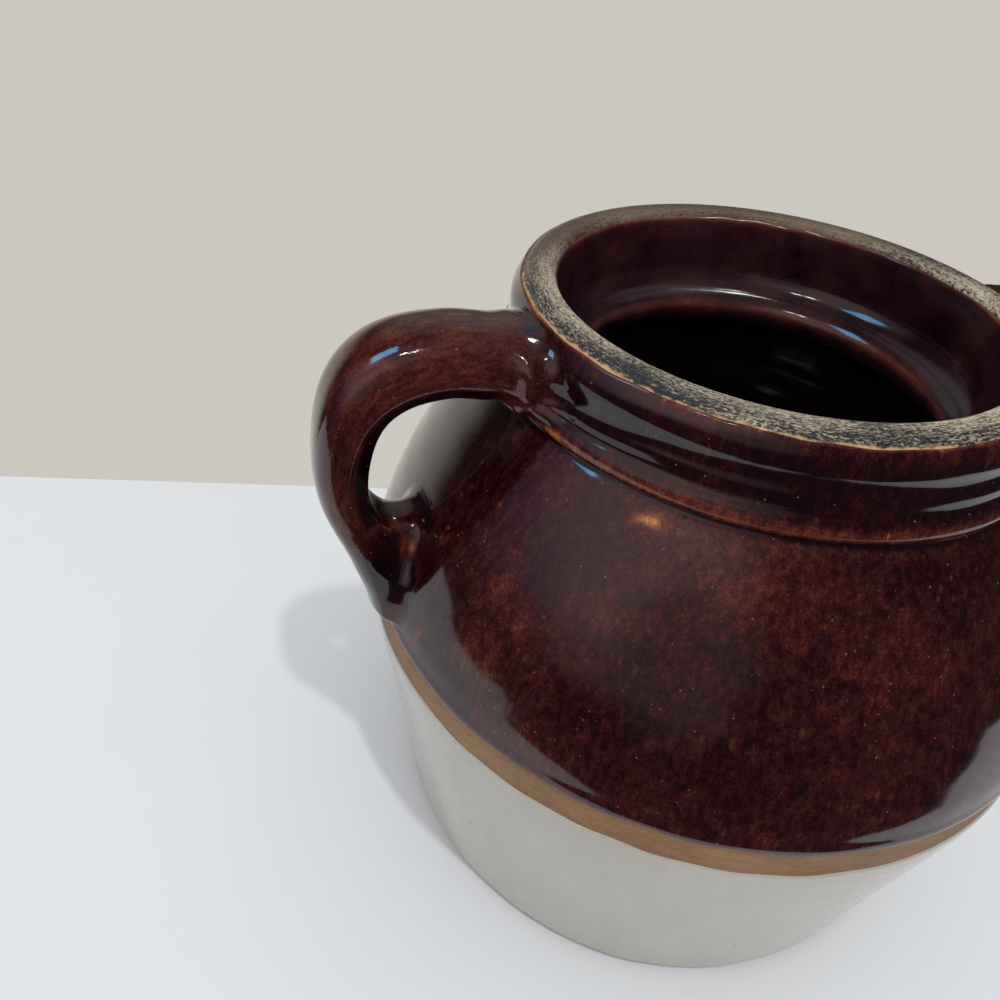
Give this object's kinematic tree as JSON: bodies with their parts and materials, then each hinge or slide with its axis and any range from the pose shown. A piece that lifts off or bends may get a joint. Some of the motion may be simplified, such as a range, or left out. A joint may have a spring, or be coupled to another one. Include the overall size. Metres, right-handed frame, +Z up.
{
  "type": "stoneware bean pot",
  "caption": "Round-bellied stoneware pot with an open collared mouth and two strap handles, dipped brown above and white below.",
  "frame": {"origin": "centre of the foot, on the surface that the pot stands on", "axes": "+Z up along the pot's axis, +X towards the right handle, -X towards the left handle"},
  "size_m": [0.2142, 0.1824, 0.1615],
  "materials": {
    "stoneware_clay": "matte",
    "brown_glaze": "gloss",
    "white_glaze": "gloss",
    "inside_glaze": "gloss"
  },
  "bodies": {
    "root": {"pot_body": "stoneware_clay", "collar": "stoneware_clay", "left_handle": "brown_glaze", "right_handle": "brown_glaze", "left_upper_luting": "brown_glaze", "left_lower_luting": "brown_glaze", "right_upper_luting": "brown_glaze", "right_lower_luting": "brown_glaze", "outer_brown_glaze": "brown_glaze", "lower_white_glaze": "white_glaze", "inside_glaze": "inside_glaze"}
  },
  "joints": []
}
